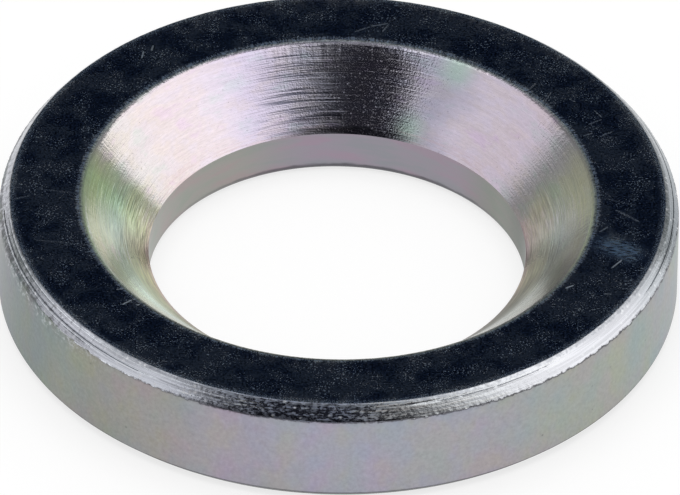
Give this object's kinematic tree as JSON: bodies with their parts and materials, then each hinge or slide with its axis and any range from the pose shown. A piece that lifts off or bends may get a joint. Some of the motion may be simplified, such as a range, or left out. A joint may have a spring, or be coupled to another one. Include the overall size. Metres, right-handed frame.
{
  "type": "conical seat washer",
  "caption": "Thick round washer with a flat top, a straight bore, a turned 90 degree conical seat and a chamfered outer shoulder.",
  "frame": {"origin": "on the bore's axis, in the plane of the flat underside", "axes": "+Z along the bore's axis, from the underside towards the mouth of the conical seat; X and Y are radial and alike"},
  "size_m": [0.036, 0.036, 0.006],
  "materials": {
    "zinc_plated_steel": "turned steel, bright zinc plated with a clear blue passivation that shows faint green, yellow and pink"
  },
  "bodies": {
    "root": {"washer": "zinc_plated_steel"}
  },
  "joints": []
}
